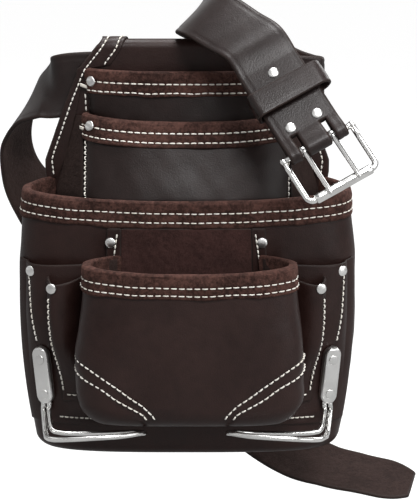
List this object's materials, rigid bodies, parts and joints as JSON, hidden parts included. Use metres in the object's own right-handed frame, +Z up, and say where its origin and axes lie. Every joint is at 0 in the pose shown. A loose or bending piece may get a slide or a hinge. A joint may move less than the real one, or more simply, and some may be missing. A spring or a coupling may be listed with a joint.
{
  "type": "tool pouch",
  "caption": "Leather nail and tool pouch with nested open pockets, side tool sleeves and wire hammer loops, hanging on its own wide belt with a double-tongue roller buckle.",
  "frame": {"origin": "a point on the underside of the main pocket, on the pouch's middle line, 30 mm in front of the back panel's rear face", "axes": "+X to the right as the front is seen, +Y from the front to the back panel, +Z up"},
  "size_m": [0.3464, 0.2149, 0.4223],
  "materials": {
    "leather": "smooth oiled, semi-gloss",
    "belt_leather": "smooth oiled, semi-gloss",
    "suede": "napped suede, matte",
    "loop_wire": "polished nickel",
    "plate": "satin nickel",
    "rivet": "satin nickel",
    "buckle": "polished nickel"
  },
  "bodies": {
    "pouch": {"back_panel": "leather", "edge_strip_left": "leather", "edge_strip_right": "leather", "upper_gusset_left": "leather", "upper_gusset_right": "leather", "upper_rear_pocket": "leather", "upper_rear_trim": "suede", "upper_front_pocket": "leather", "upper_front_trim": "suede", "main_pocket": "leather", "main_trim": "suede", "front_pocket_back": "suede", "front_tab_left": "leather", "front_tab_right": "leather", "front_pocket": "leather", "front_trim": "suede", "tool_panel_left": "leather", "tool_panel_right": "leather", "tool_sleeve_left": "leather", "tool_sleeve_right": "leather", "hammer_loop_left": "loop_wire", "hammer_loop_right": "loop_wire", "hammer_plate_left": "plate", "hammer_plate_right": "plate", "hammer_rivets": "rivet", "pocket_rivets": "rivet"},
    "belt": {"belt_strap": "belt_leather", "belt_rivets": "rivet"},
    "keeper": {"belt_keeper": "belt_leather"},
    "buckle": {"buckle_frame": "buckle"},
    "tongue_left": {"buckle_tongue_left": "buckle"},
    "tongue_right": {"buckle_tongue_right": "buckle"},
    "roller": {"buckle_roller": "buckle"}
  },
  "joints": [
    {"name": "belt_slide", "type": "slide", "parent": "pouch", "child": "belt", "axis": [1, 0, 0], "range_m": [-0.001, 0.003]},
    {"name": "keeper_slide", "type": "slide", "parent": "belt", "child": "keeper", "axis": [-0.4927, 0.4684, 0.7334], "range_m": [-0.012, 0.004]},
    {"name": "buckle_hinge", "type": "hinge", "parent": "belt", "child": "buckle", "pos_m": [0.099, -0.075, 0.256], "axis": [0.8678, 0.2019, 0.454], "range_deg": [-60, 45]},
    {"name": "tongue_left_hinge", "type": "hinge", "parent": "buckle", "child": "tongue_left", "pos_m": [0.099, -0.075, 0.256], "axis": [0.8678, 0.2019, 0.454], "range_deg": [-75, 0]},
    {"name": "tongue_right_hinge", "type": "hinge", "parent": "buckle", "child": "tongue_right", "pos_m": [0.099, -0.075, 0.256], "axis": [0.8678, 0.2019, 0.454], "range_deg": [-75, 0]},
    {"name": "roller_spin", "type": "hinge", "parent": "buckle", "child": "roller", "pos_m": [0.11772, -0.0928, 0.22813], "axis": [0.8678, 0.2019, 0.454], "continuous": true}
  ]
}
